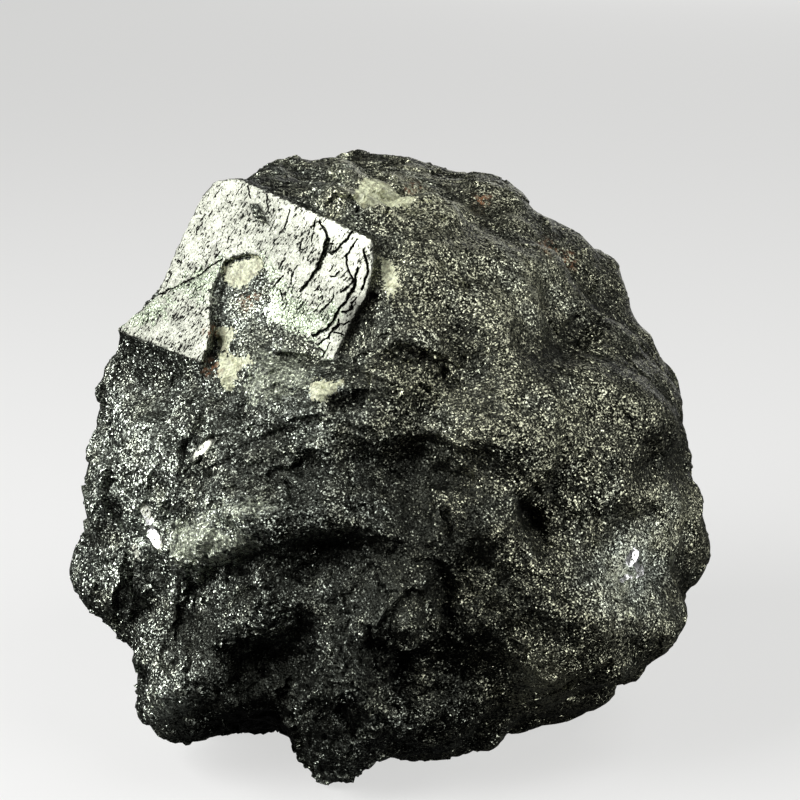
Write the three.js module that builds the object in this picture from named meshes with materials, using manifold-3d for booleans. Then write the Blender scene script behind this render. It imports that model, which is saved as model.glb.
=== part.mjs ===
// A hand-sized lump of skutterudite: massive, granular cobalt arsenide with two crystals grown into
// its upper left. It is one solid. Millimetres, +Z up, standing on the flats under its base at z = 0,
// with the crystals towards -Y and the origin under the middle of the lump.
//
// The lump leans back a little, so its shape is given in a leaning frame: u to the right (+X), v up
// along the lean, and w towards the front. The frame's centre is inside the lump.

import * as THREE from "three";
import { ConvexGeometry } from "three/addons/geometries/ConvexGeometry.js";
import { ImprovedNoise } from "three/addons/math/ImprovedNoise.js";
import { mergeVertices } from "three/addons/utils/BufferGeometryUtils.js";
import Module from "manifold-3d";

const wasm = await Module();
wasm.setup();

// ---- Driving dimensions ------------------------------------------------------------------------

const LEAN = THREE.MathUtils.degToRad(15); // how far the leaning frame is turned back from upright
const CENTRE_HEIGHT = 49; // of the frame's centre above the base
const FRONT_DEPTH = 50; // from the centre to the front of the lump
const BACK_DEPTH = 50; // and to its back
const BLOCKINESS = 2.5; // 2 is an ellipsoid, and more is squarer
const SURFACE_DETAIL = 20; // each of an icosahedron's 20 faces is split into (this + 1) squared

// The widest outline of the lump, [u, v], anticlockwise from the right-hand side.
const OUTLINE = [
  [57, 0], [55, 9], [52, 18], [46, 26], [43, 30], [43, 35], [40, 42], [32, 46], [23, 52], [15, 55],
  [5, 56], [-9, 62], [-21, 61], [-30, 54], [-38, 40], [-45, 30], [-50, 22], [-54, 14], [-57, 7],
  [-55, -4], [-57, -15], [-55, -22], [-46, -31], [-41, -43], [-40, -54], [-31, -58], [-20, -60],
  [-8, -63], [6, -60], [21, -57], [33, -52], [41, -44], [45, -37], [52, -32], [57, -25], [54, -14],
];
const OUTLINE_SPREAD = 0.6; // radians: the outline's corners are averaged over this at the poles
const SPREAD_STEPS = 3; // samples of that average to either side

// Broad fracture faces, [direction in u, v, w, distance from the centre].
const FRACTURES = [
  [[0.22, 0.92, 0.32], 53], // the top
  [[0.75, 0.55, 0.35], 53],
  [[0.6, -0.1, 0.8], 53],
  [[-0.75, -0.05, 0.65], 52],
  [[0.34, -0.85, 0.4], 56], // the underside, on the right and on the left
  [[-0.26, -0.85, 0.47], 59],
  [[0, -1, 0], 50.5], // clear of the ground in front, but for the feet
  [[-0.4, 0.7, -0.6], 52],
  [[0.5, 0.45, -0.75], 51],
  [[-0.6, -0.1, -0.8], 50],
  [[0.45, -0.5, -0.74], 52],
  [[-0.1, 0.1, -1], 47],
];
const FRACTURE_EDGE = 2.5; // how softly a fracture face meets its neighbours
const FRACTURE_REACH = 0.2; // cosine below which a direction is too far from a face to meet it

// Knobs and hollows, [u, v, radius, height], on the front and on the back. They fade out over the
// last of the way to the widest outline.
const RELIEF_FADE = 12;
const FRONT_RELIEF = [
  [-20, 34, 15, -7], // sunk behind the crystals
  [-38, 20, 11, -5],
  [-23, 25, 6, -2],
  [3, 35, 7, 2.5], // lumps and ledges to the right of the upper crystal
  [2, 24, 6, 3],
  [7, 17, 6, -3],
  [2, 12, 6, 3],
  [14, 6, 6, 3],
  [3, 3, 9, -5],
  [32, 27, 8, -5], // a smooth hollow
  [40, 37, 7, 2],
  [22, 14, 8, 2],
  [30, 10, 6, -2],
  [46, 11, 9, 3],
  [25, -8, 5, -5], // a deep slot
  [36, -20, 14, 4], // the right-hand shoulder
  [33, -31, 8, 2],
  [10, -9, 5, -3],
  [-12, 12, 7, 3],
  [-41, 3, 9, 2.5],
  [-55, -18, 7, 2],
  [-31, -12, 6, 4], // the ledge over the undercut
  [-21, -8, 6, 4.5],
  [-11, -7, 6, 3],
  [-29, -19, 5, -6], // the undercut
  [-34, -26, 5, -5],
  [-12, -16, 7, -5],
  [-20, -23, 6, 2],
  [-21, -33, 6, -7],
  [-6, -33, 6, 3],
  [2, -34, 5, -6],
  [5, -26, 4, 3.5],
  [12, -23, 6, -7],
  [14, -34, 7, -3],
  [-36, -36, 8, 4], // the left-hand foot
  [-10, -52, 6, 8], // the foot in front
  [-23, -48, 6, -5],
  [36, -39, 5, -2],
];
const BACK_RELIEF = [
  [-25, 20, 16, 4],
  [18, 28, 14, -5],
  [30, -8, 13, 4],
  [-8, -6, 15, -5],
  [-35, -20, 12, 4],
  [8, -34, 14, 3],
];

// Rounded lumps with sharp valleys between them, [size, height, where in the noise they are read].
const LUMPS = [
  [30, 4, 40],
  [16, 3.2, 57],
  [9, 1.8, 74],
];
const LUMP_MEAN = 0.21; // of the noise that shapes them, so that they don't swell the whole lump

const MERGE_DISTANCE = 1e-4; // vertices nearer than this are one

// ---- The leaning frame -------------------------------------------------------------------------

function leanToUpright(points) {
  // Turns points of the leaning frame, [u, v, w], into x, y, z over the base.
  const right = new THREE.Vector3(1, 0, 0);
  const up = new THREE.Vector3(0, Math.sin(LEAN), Math.cos(LEAN));
  const front = new THREE.Vector3(0, -Math.cos(LEAN), Math.sin(LEAN));
  const turn = new THREE.Matrix4().makeBasis(right, up, front);
  turn.setPosition(0, 0, CENTRE_HEIGHT);
  return points.map(([u, v, w]) => new THREE.Vector3(u, v, w).applyMatrix4(turn));
}

// ---- Solids ------------------------------------------------------------------------------------

function solidFrom(geometry) {
  // Makes a manifold solid of a closed three.js geometry.
  const bare = geometry.clone();
  for (const name of Object.keys(bare.attributes)) {
    if (name !== "position") bare.deleteAttribute(name);
  }
  const merged = mergeVertices(bare, MERGE_DISTANCE);
  return new wasm.Manifold(new wasm.Mesh({
    numProp: 3,
    vertProperties: new Float32Array(merged.attributes.position.array),
    triVerts: new Uint32Array(merged.index.array),
  }));
}

function geometryFrom(solid) {
  // Turns a manifold solid back into a three.js geometry.
  const mesh = solid.getMesh();
  const geometry = new THREE.BufferGeometry();
  geometry.setAttribute("position", new THREE.BufferAttribute(new Float32Array(mesh.vertProperties), 3));
  geometry.setIndex(new THREE.BufferAttribute(new Uint32Array(mesh.triVerts), 1));
  return geometry;
}

// ---- The massive arsenide ----------------------------------------------------------------------

const outlineAngles = OUTLINE.map(([u, v]) => Math.atan2(v, u));
const outlineRadii = OUTLINE.map(([u, v]) => Math.hypot(u, v));

function outlineRadius(angle) {
  // Radius of the outline at an angle, smooth between its points.
  const turn = 2 * Math.PI;
  const count = OUTLINE.length;
  for (let i = 0; i < count; i += 1) {
    const next = (i + 1) % count;
    const span = THREE.MathUtils.euclideanModulo(outlineAngles[next] - outlineAngles[i], turn);
    const along = THREE.MathUtils.euclideanModulo(angle - outlineAngles[i], turn);
    if (along <= span) {
      const t = THREE.MathUtils.smoothstep(along / span, 0, 1);
      return THREE.MathUtils.lerp(outlineRadii[i], outlineRadii[next], t);
    }
  }
  throw new Error("the outline doesn't close");
}

function averageRadius(angle, spread) {
  // The outline's radius averaged over a spread to either side.
  let sum = 0;
  for (let i = -SPREAD_STEPS; i <= SPREAD_STEPS; i += 1) {
    sum += outlineRadius(angle + (spread * i) / SPREAD_STEPS);
  }
  return sum / (2 * SPREAD_STEPS + 1);
}

function softMinimum(a, b, softness) {
  // The smaller of two lengths, rounded off where they are nearly equal.
  const h = Math.max(softness - Math.abs(a - b), 0) / softness;
  return Math.min(a, b) - (h * h * softness) / 4;
}

const noise = new ImprovedNoise();

function lumps(point) {
  // Height of the rounded lumps at a point, in millimetres, about zero.
  let height = 0;
  for (const [size, amount, place] of LUMPS) {
    const value = noise.noise(point.x / size + place, point.y / size + place, point.z / size + place);
    height += 2 * amount * (Math.abs(value) - LUMP_MEAN);
  }
  return height;
}

function relief(point) {
  // Height of the knobs and hollows at a point, in millimetres.
  const list = point.z > 0 ? FRONT_RELIEF : BACK_RELIEF;
  const fade = Math.min(1, Math.abs(point.z) / RELIEF_FADE);
  let height = 0;
  for (const [u, v, radius, amount] of list) {
    const away = ((point.x - u) ** 2 + (point.y - v) ** 2) / radius ** 2;
    height += amount * Math.exp(-away) * fade;
  }
  return height;
}

function surfacePoint(direction) {
  // The point of the lump's surface that lies in a direction from its centre, in the leaning frame.
  const across = Math.hypot(direction.x, direction.y);
  const depth = direction.z > 0 ? FRONT_DEPTH : BACK_DEPTH;
  const spread = OUTLINE_SPREAD * Math.abs(direction.z);
  const radius = averageRadius(Math.atan2(direction.y, direction.x), spread);
  const bulk = (across / radius) ** BLOCKINESS + (Math.abs(direction.z) / depth) ** BLOCKINESS;
  let reach = bulk ** (-1 / BLOCKINESS);
  for (const [normal, distance] of FRACTURES) {
    const facing = new THREE.Vector3(...normal).normalize().dot(direction);
    if (facing > FRACTURE_REACH) reach = softMinimum(reach, distance / facing, FRACTURE_EDGE);
  }
  const point = direction.clone().multiplyScalar(reach);
  return direction.clone().multiplyScalar(reach + lumps(point) + relief(point));
}

function massiveArsenide() {
  const geometry = new THREE.IcosahedronGeometry(1, SURFACE_DETAIL);
  const position = geometry.attributes.position;
  const direction = new THREE.Vector3();
  for (let i = 0; i < position.count; i += 1) {
    direction.fromBufferAttribute(position, i).normalize();
    const [point] = leanToUpright([surfacePoint(direction).toArray()]);
    position.setXYZ(i, point.x, point.y, point.z);
  }
  return solidFrom(geometry);
}

// ---- The crystals ------------------------------------------------------------------------------

// Corners of the bright face of each crystal, [u, v], and of the dark face under the lower one.
const UPPER_FACE = [
  [-27, 52.4], [-2.8, 40.2], [-2.6, 36.4], [-3.8, 30], [-9.3, 20], [-26, 22], [-41.6, 31.4],
  [-38, 40], [-33.3, 49.5], [-31, 52],
];
const LOWER_FACE = [[-41.6, 31.4], [-29, 37.8], [-32, 19.6], [-49, 25.8]];
const UNDER_FACE = [[-49, 25.8], [-32, 19.6], [-32, 9], [-52.6, 9]];

// The way each face looks, and the corner that sets how far forward it is.
const UPPER_NORMAL = [-0.45, 0.15, 0.88];
const UPPER_CORNER = [-2.8, 40.2, 45];
const LOWER_NORMAL = [-0.5, 0.28, 0.82];
const LOWER_CORNER = [-41.6, 31.4, 26.7];
const UNDER_NORMAL = [-0.62, -0.3, 0.7];
const UNDER_CORNER = [-32, 19.6, 36.6];

// The corners of each crystal that are inside the lump.
const UPPER_BACK = [[-24, 54, 8], [10, 46, 20], [6, 25, 25], [-38, 34, 6]];
const LOWER_BACK = [[-44, 26, 2], [-28, 34, 8], [-28, 14, 14], [-46, 9, 2]];

function onFace(corners, normal, through) {
  // Gives each corner, [u, v], its place forward, w, on the plane of a face.
  const [a, b, c] = normal;
  const [u0, v0, w0] = through;
  return corners.map(([u, v]) => [u, v, w0 - (a * (u - u0) + b * (v - v0)) / c]);
}

function crystal(corners) {
  return solidFrom(new ConvexGeometry(leanToUpright(corners)));
}

// ---- The base ----------------------------------------------------------------------------------

const GROUND_DEPTH = 60;
const GROUND_WIDTH = 300;

function ground() {
  const block = new THREE.BoxGeometry(GROUND_WIDTH, GROUND_WIDTH, GROUND_DEPTH);
  block.translate(0, 0, -GROUND_DEPTH / 2);
  return solidFrom(block);
}

// ---- The specimen ------------------------------------------------------------------------------

function specimenGeometry() {
  const solid = massiveArsenide()
    .add(crystal([...onFace(UPPER_FACE, UPPER_NORMAL, UPPER_CORNER), ...UPPER_BACK]))
    .add(crystal([
      ...onFace(LOWER_FACE, LOWER_NORMAL, LOWER_CORNER),
      ...onFace(UNDER_FACE, UNDER_NORMAL, UNDER_CORNER),
      ...LOWER_BACK,
    ]))
    .subtract(ground());
  const geometry = geometryFrom(solid);
  geometry.computeBoundingBox();
  const middle = geometry.boundingBox.getCenter(new THREE.Vector3());
  geometry.translate(-middle.x, -middle.y, -geometry.boundingBox.min.z);
  return geometry;
}

const arsenide = new THREE.MeshStandardMaterial({
  color: 0x6f7268,
  roughness: 0.5,
  metalness: 0.7,
  flatShading: true,
});

const specimen = new THREE.Mesh(specimenGeometry(), arsenide);
specimen.name = "skutterudite_specimen";

const object = new THREE.Group();
object.add(specimen);

export default object;
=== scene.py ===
import math
from itertools import product

import bpy
import numpy as np
from bpy.props import FloatProperty, FloatVectorProperty, IntProperty, PointerProperty
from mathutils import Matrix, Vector
from mathutils.bvhtree import BVHTree
from mathutils.noise import fractal, noise_vector, seed_set
from mathutils.noise import ridged_multi_fractal as ridged


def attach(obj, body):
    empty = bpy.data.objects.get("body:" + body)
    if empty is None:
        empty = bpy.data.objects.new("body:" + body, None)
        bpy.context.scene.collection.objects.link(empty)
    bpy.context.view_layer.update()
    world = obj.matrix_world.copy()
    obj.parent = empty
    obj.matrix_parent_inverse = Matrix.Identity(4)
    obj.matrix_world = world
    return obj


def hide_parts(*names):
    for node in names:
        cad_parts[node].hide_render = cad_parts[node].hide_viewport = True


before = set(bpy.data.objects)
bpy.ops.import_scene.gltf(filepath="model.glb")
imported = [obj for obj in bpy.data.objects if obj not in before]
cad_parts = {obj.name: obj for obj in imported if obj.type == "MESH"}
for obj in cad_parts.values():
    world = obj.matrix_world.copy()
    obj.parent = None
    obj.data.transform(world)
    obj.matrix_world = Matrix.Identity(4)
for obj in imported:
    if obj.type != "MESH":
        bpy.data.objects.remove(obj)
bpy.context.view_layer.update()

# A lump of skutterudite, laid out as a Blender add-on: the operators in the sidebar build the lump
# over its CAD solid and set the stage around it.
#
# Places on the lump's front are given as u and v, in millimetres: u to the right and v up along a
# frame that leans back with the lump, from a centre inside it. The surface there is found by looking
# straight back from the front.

bl_info = {
    "name": "Skutterudite Specimen",
    "version": (1, 0, 0),
    "blender": (4, 5, 0),
    "location": "3D View > Sidebar > Specimen",
    "description": "Builds a lump of granular skutterudite with two bright crystals, and its stage",
    "category": "Add Mesh",
}

NODE = "skutterudite_specimen"
MM = 0.001

# The leaning frame: its lean, and where its centre is over the middle of the base.
LEAN = math.radians(15)
CENTRE = Vector((-0.88, 2.34, 49.08)) * MM
RIGHT = Vector((1, 0, 0))
UP = Vector((0, math.sin(LEAN), math.cos(LEAN)))
FRONT = Vector((0, -math.cos(LEAN), math.sin(LEAN)))

# The ways that the flat crystal faces look, in right, up and front.
CRYSTAL_FACES = {
    "upper": ((-0.45, 0.15, 0.88), (-2.8, 40.2, 45)),
    "lower": ((-0.5, 0.28, 0.82), (-41.6, 31.4, 26.7)),
    "under": ((-0.62, -0.3, 0.7), (-32, 19.6, 36.6)),
}
FACE_GAP = 0.1 * MM  # a triangle this near to a face's plane, and turned like it, is part of it
FACE_MATCH = 0.999
FACE_REACH = 5.0  # distances from a face are measured up to this, in millimetres

# Where the massive arsenide begins beside each face, in millimetres from it, and its least share on it.
FACE_FADE = {"upper": (0.4, 3.5, 0), "lower": (0.4, 3.0, 0), "under": (0.3, 3.0, 0.45)}
PLANED_FACES = ("upper", "lower")  # the faces that are brought back to their planes
PLANE_BAND = (0.35, 0.6)  # nearer than this to a face all of it is brought back, and further none
PLANE_PULL = 0.85  # how far it is brought back
WEIGHT_STEPS = 50  # how finely weights are told apart
MERGE_GAP = 0.001 * MM

# Noises on the lump: the size of their lumps in millimetres, and a number that tells them apart.
WOBBLE = (5, 1)
SHIVER = (1.8, 2)
CRACK_WANDER = (1.2, 3)
EDGE_WANDER = (3, 5)
OLIVE_WANDER = (25, 6)
NOISE_STRIDE = (7.3, 3.1, 5.7)  # between the places where different noises are read
NOISE_OCTAVES = (0.8, 2.1, 3)  # how soon the finer octaves fade, how much finer each is, and how many

# Carving is done straight back from the front. It fades in over these places in front of the centre,
# in millimetres, and where the surface turns this much to the front.
CARVE_DEPTH = (0, 8)
CARVE_FACING = (0.1, 0.45)
WOBBLE_SHIFT = 0.8  # how far the noises move what is carved, in millimetres
SHIVER_SHIFT = 0.35
HOLLOW_POWER = 1.4  # 1 is a soft dent, and more has a flatter floor and steeper walls

# The pit where the upper crystal is broken away: its outline in u and v, its depth at its left and at
# its right, and the places along its slope between which the depth changes.
PIT = [
    (-29.1, 37.6), (-26.4, 38.3), (-23.9, 38.6), (-21.7, 38.0), (-21.1, 34.3), (-19.7, 32.5),
    (-20.8, 28.6), (-20.0, 26.3), (-15.1, 24.6), (-12.0, 22.5), (-10.8, 19.0), (-14.0, 15.5),
    (-22.0, 13.5), (-30.0, 14.2), (-32.4, 19.3), (-30.5, 23.5), (-31.4, 29.0), (-31.2, 31.8),
    (-29.6, 35.4),
]
PIT_DEPTH = (1.1, 0.15)
PIT_SPAN = (-42, -28)
PIT_LEAN = 0.4  # a place along its slope is u less this share of v
PIT_WALL = (-0.1, 0.4)  # where its wall starts and ends, in millimetres inside the outline
PIT_SHIVER = 0.3  # how far its outline wavers
PIT_UNEVEN = 0.35  # how uneven its floor is, as a share of its depth

# Where the crystals' faces are worn to a greenish grey.
WORN = (
    [
        (-21.3, 37.0), (-18.6, 33.0), (-15.2, 30.1), (-12.6, 28.9), (-8.6, 28.6), (-9.3, 25.8),
        (-12.5, 24.0), (-10.7, 19.4), (-13.5, 17.0), (-20.0, 25.0), (-21.8, 30.3),
    ],
    [(-29.2, 37.7), (-30.2, 33.2), (-33.1, 30.8), (-36.0, 32.2), (-38.5, 31.7), (-34.2, 35.2)],
    [(-48.0, 27.0), (-42.7, 30.6), (-38.5, 30.6), (-40.0, 27.6), (-44.5, 26.2)],
)

# Hollows and ridges smaller than the solid holds: u, v, half length, half width, the turn of the
# length from level in degrees, and height. All but the turn are in millimetres.
HOLLOWS = (
    (23.6, -6.4, 4.2, 1.2, 122, -2.4),
    (26.2, -10.6, 3.4, 1.0, 108, -2.0),
    (5.8, 4.8, 4.6, 2.2, 10, -1.4),
    (12.6, -0.8, 5.0, 1.6, -10, -1.2),
    (3.6, 19.4, 3.6, 1.6, 0, -1.2),
    (10.8, 15.6, 3.6, 1.2, -48, -1.2),
    (10.0, -8.4, 4.2, 1.2, 108, -0.8),
    (34.2, 25.4, 5.0, 3.6, 70, -1.0),
    (-21.0, -33.0, 7.0, 2.6, 172, -2.0),
    (-35.4, -26.4, 3.6, 1.8, 115, -1.6),
    (-30.6, -18.0, 3.2, 1.6, 60, -1.6),
    (2.0, -33.0, 3.6, 2.2, 90, -1.2),
    (-22.0, -14.0, 4.4, 1.3, 8, -1.4),
    (-13.0, 1.2, 3.2, 1.2, -10, -1.2),
    (-34.5, -2.4, 3.4, 1.3, 5, -1.2),
    (-41.2, 10.8, 2.4, 0.9, 25, -1.0),
    (-24.6, 11.4, 3.8, 1.0, 82, -1.4),
    (-29.0, 13.2, 2.0, 1.0, -20, -1.2),
    (-7.4, 11.6, 3.2, 1.0, 12, -1.4),
    (-16.0, -37.5, 3.4, 2.0, 80, -2.0),
    (-32.0, -43.0, 4.0, 1.4, 0, -1.4),
    (33.0, -36.4, 5.4, 1.0, 28, -1.4),
    (28.2, -2.6, 2.6, 1.0, 100, -1.0),
    (13.3, 19.6, 1.8, 0.7, -62, -1.0),
    (34.8, 10.0, 1.8, 0.7, 40, -0.9),
    (-12.0, -11.5, 4.0, 1.2, 10, -1.0),
    (-6.0, -19.0, 5.0, 2.0, 60, -1.0),
    (-3.6, 26.4, 6.0, 1.4, 62, -1.6),
)
RIDGES = (
    (-0.5, 51.0, 9.0, 4.0, 0, 6.0),
    (-31.5, -10.0, 4.8, 2.2, 60, 2.0),
    (-24.6, -5.6, 4.0, 1.3, 12, 1.8),
    (-37.4, -19.8, 3.6, 1.2, 72, 1.4),
    (-22.0, -22.0, 8.0, 4.6, 10, 2.2),
    (-6.5, -37.0, 8.0, 5.0, 85, 2.6),
    (4.4, -24.4, 3.2, 3.8, 20, 1.6),
    (12.0, -21.5, 4.5, 3.6, 0, 2.6),
    (14.5, -26.5, 4.0, 3.0, 30, 2.0),
    (-36.0, -37.0, 6.5, 5.5, 60, 1.6),
    (11.8, -17.0, 4.2, 1.3, 112, 1.4),
    (25.0, 10.0, 8.0, 5.0, 70, 1.4),
    (31.6, 5.0, 3.0, 0.9, 82, 1.2),
    (17.6, -1.6, 3.0, 1.0, -32, 1.2),
    (21.6, -4.4, 1.5, 1.2, 30, 1.3),
    (42.0, -14.5, 4.2, 3.0, 40, 0.9),
    (3.2, 34.0, 5.0, 4.6, 60, 1.6),
    (-10.0, 14.6, 2.8, 1.8, 20, 1.2),
    (-1.0, 50.0, 5.4, 3.4, 0, 0.6),
    (-16.0, -5.0, 7.0, 1.4, 8, 1.0),
    (-2.0, -9.0, 8.0, 1.6, -15, 1.0),
)

# Ledges that the fractures leave: a run of u, v points along the lip, the height of the step and how
# far it reaches, in millimetres. The lump stands out on the left of the run and in on its right.
LEDGES = (
    (((-2.0, 21.0), (2.2, 22.3), (6.4, 21.3), (9.9, 18.4), (12.8, 14.3)), 2.4, 4.5),
    (((-7.0, 14.9), (-2.8, 14.3), (2.2, 12.6), (5.0, 10.5)), 1.6, 4.0),
    (((4.4, 8.2), (9.9, 5.9), (14.0, 4.9), (17.0, 3.2), (19.4, 0.4)), 2.6, 5.0),
    (((6.0, 0.2), (9.9, -2.3), (14.5, -2.8)), -1.2, 3.5),
    (((10.9, -13.0), (9.8, -9.4), (8.5, -6.0), (7.6, -2.8)), 1.8, 4.0),
    (((29.4, 19.0), (31.5, 25.4), (33.8, 29.6)), 1.8, 4.5),
    (((37.4, 20.8), (39.0, 25.6), (38.4, 30.1), (35.4, 32.8)), -1.0, 3.5),
    (((27.6, -3.6), (28.4, 1.0), (29.6, 6.4), (29.4, 12.4), (27.4, 18.2)), 1.6, 5.0),
    (((-34.0, -17.6), (-29.2, -14.7), (-24.7, -12.3), (-20.4, -11.2)), 2.6, 5.0),
    (((-18.4, -9.2), (-14.0, -10.8), (-9.8, -9.4)), 1.6, 3.5),
    (((-33.4, -29.6), (-28.6, -30.4), (-23.6, -28.6)), 2.6, 5.0),
    (((-21.6, -29.8), (-17.8, -29.4), (-14.6, -30.8), (-9.6, -28.4)), 2.8, 4.5),
    (((-25.0, -41.0), (-26.2, -36.7), (-28.1, -32.8), (-32.0, -30.8)), 2.6, 5.0),
    (((-36.6, -28.0), (-38.0, -25.0), (-35.8, -23.2), (-34.4, -20.4), (-32.0, -17.6)), 2.2, 4.0),
    (((3.0, -32.6), (4.4, -29.1), (7.2, -26.0), (9.2, -24.2), (8.2, -21.8), (4.6, -19.8)), 3.0, 4.5),
    (((1.8, -43.0), (0.4, -37.0), (-0.2, -30.4)), 2.4, 4.5),
    (((-12.4, -30.8), (-13.6, -36.6), (-15.0, -43.0)), 2.2, 4.5),
    (((27.0, -39.4), (30.2, -37.7), (34.3, -35.3), (37.7, -32.9), (42.0, -33.0)), 2.6, 5.0),
    (((15.6, -24.0), (19.4, -29.2), (24.1, -34.4), (26.3, -40.0)), 2.4, 6.0),
    (((-37.2, -0.9), (-33.2, 0.6), (-28.4, -0.2)), 1.8, 3.5),
    (((-16.8, 4.4), (-12.8, 3.4), (-9.2, 2.0)), 1.8, 3.5),
    (((-11.6, 12.0), (-8.7, 13.6), (-5.2, 14.0)), 1.4, 3.0),
    (((27.2, -13.8), (26.3, -9.8), (23.4, -6.2), (21.7, -3.2)), 1.6, 3.5),
    (((-43.6, 11.2), (-40.5, 12.6), (-37.4, 14.9)), 1.4, 3.0),
    (((9.2, 45.7), (16.6, 43.9), (24.0, 40.0)), 0.9, 2.5),
    (((11.7, 38.8), (19.6, 36.4), (27.4, 33.8)), 0.9, 2.5),
    (((20.6, 45.8), (32.1, 41.7), (39.7, 38.6)), 0.9, 2.5),
    (((15.5, 54.0), (22.9, 51.3), (30.7, 47.8)), 0.8, 2.5),
    (((2.0, 41.0), (6.5, 38.5), (8.6, 33.5), (6.6, 28.6)), 1.4, 3.5),
    (((-28.0, 8.0), (-20.0, 8.6), (-13.0, 7.0)), 1.2, 4.0),
    (((-22.0, 1.5), (-15.0, -1.5), (-7.0, -3.5), (2.0, -3.0)), 1.2, 4.0),
    (((-46.0, 2.0), (-41.0, 4.5), (-36.0, 9.0), (-32.0, 11.6)), 1.2, 3.5),
    (((14.0, -12.6), (20.0, -15.5), (27.0, -17.0), (35.0, -15.4)), 1.2, 4.0),
    (((18.0, 27.0), (23.0, 24.0), (26.0, 20.0)), 0.9, 3.5),
)
LEDGE_SHARE = 0.65
LEDGE_EDGE = 0.4  # half the width of a ledge's step
LEDGE_FADE = 0.7  # how much of its reach a ledge takes to fade in at its ends

# Cracks in the upper crystal's face: a run of u, v points, half width and depth.
CRACKS = (
    (((-11.6, 43.6), (-10.5, 41.9), (-10.2, 40.2)), 0.22, 0.5),
    (((-10.2, 40.4), (-10.7, 38.0), (-11.9, 35.6)), 0.42, 0.9),
    (((-11.9, 35.6), (-13.4, 33.2), (-14.8, 31.6)), 0.26, 0.6),
    (((-5.9, 41.6), (-6.8, 40.4), (-8.5, 38.7), (-9.4, 37.9), (-10.2, 38.6)), 0.20, 0.5),
    (((-10.2, 39.7), (-9.2, 39.6)), 0.14, 0.3),
    (((-5.2, 40.3), (-6.2, 38.4), (-6.9, 37.6), (-6.8, 36.1), (-6.6, 35.2)), 0.15, 0.4),
    (((-6.6, 35.2), (-5.7, 33.3), (-6.5, 32.0), (-7.7, 31.1)), 0.16, 0.4),
    (((-6.6, 35.2), (-7.8, 33.7)), 0.09, 0.2),
    (((-4.9, 35.2), (-5.4, 33.3), (-5.4, 32.3), (-6.7, 29.9), (-8.1, 28.2)), 0.22, 0.6),
    (((-8.1, 28.2), (-9.1, 26.4), (-10.3, 24.9), (-12.5, 23.8)), 0.26, 0.6),
    (((-4.0, 38.4), (-3.2, 35.9), (-3.1, 34.8), (-3.8, 32.6), (-4.2, 31.6)), 0.20, 0.5),
    (((-5.3, 30.1), (-5.9, 29.2), (-5.9, 28.2), (-7.5, 27.7)), 0.15, 0.4),
    (((-8.1, 26.4), (-8.1, 25.4), (-9.2, 25.0), (-9.9, 23.4), (-11.8, 22.4)), 0.18, 0.4),
    (((-6.2, 26.1), (-7.9, 25.6)), 0.12, 0.3),
    (((-7.3, 23.9), (-8.8, 24.3)), 0.12, 0.3),
    (((-11.7, 21.9), (-10.6, 21.0), (-9.6, 22.6)), 0.12, 0.3),
    (((-10.6, 21.0), (-10.9, 20.2)), 0.16, 0.3),
    (((-9.1, 35.9), (-9.9, 34.9)), 0.11, 0.3),
    (((-8.2, 34.9), (-8.8, 33.9), (-9.6, 34.0)), 0.11, 0.3),
    (((-11.5, 32.4), (-12.4, 31.6)), 0.11, 0.3),
    (((-9.1, 30.7), (-10.0, 29.0), (-11.5, 28.0)), 0.13, 0.3),
    (((-11.3, 29.3), (-12.3, 28.2)), 0.10, 0.3),
    (((-12.3, 43.9), (-12.7, 42.4)), 0.14, 0.3),
    (((-12.8, 41.3), (-13.0, 40.2)), 0.11, 0.3),
    (((-14.6, 40.8), (-15.2, 39.2)), 0.12, 0.3),
    (((-17.7, 37.5), (-18.8, 35.8)), 0.13, 0.3),
    (((-18.0, 34.4), (-19.9, 32.4)), 0.12, 0.3),
    (((-16.2, 35.0), (-16.6, 32.9)), 0.12, 0.3),
    (((-18.6, 32.1), (-18.0, 30.0)), 0.12, 0.3),
    (((-21.2, 49.0), (-20.9, 46.4), (-22.0, 44.6)), 0.12, 0.3),
    (((-24.6, 50.6), (-24.2, 48.6)), 0.12, 0.3),
    (((-17.0, 46.0), (-17.6, 43.4), (-18.8, 41.6)), 0.12, 0.3),
    (((-41.8, 31.4), (-36.6, 33.6), (-32.8, 35.4), (-31.3, 36.6), (-29.1, 37.6)), 0.12, 0.3),
)
CRACK_BANDS = (0.9, 0.5)  # the crystal's face is made finer this near to a crack, once for each
CRACK_FACE = 0.4  # how near to the face's surface it is made finer
CRACK_REACH = 2  # cracks are looked for up to this far from the face
CRACK_FADE = (0.5, 1.2)  # over this distance from the face they end
CRACK_WALL = (0.4, 1.2)  # from a crack's floor to its edge, in half widths
CRACK_SHIFT = 0.2  # how far a crack wanders
CRACK_SHARES = 3  # the finish knows a crack up to this many half widths away

# Small bright cleavage flats in the granular mass: u, v, half length, half width, turn in degrees.
FLATS = (
    (-31.7, 4.4, 3.3, 0.8, 46),
    (-42.4, -7.4, 1.9, 0.9, 117),
    (-41.0, -11.7, 2.2, 1.0, 120),
    (-44.7, -14.1, 1.4, 0.5, 112),
    (43.0, -14.8, 1.7, 0.9, 60),
    (44.4, -17.0, 1.4, 0.7, 110),
    (41.8, -18.4, 1.2, 0.5, 20),
    (51.4, -16.0, 1.6, 0.5, 80),
)
FLAT_POWER = 3  # 2 is an oval, and more has squarer corners
FLAT_EDGE = (0.6, 1.4)  # where a flat's edge starts and ends, where 1 is its outline
FLAT_DEPTH = (0, 6)  # as for carving
FLAT_FACING = (0.0, 0.2)

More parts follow.
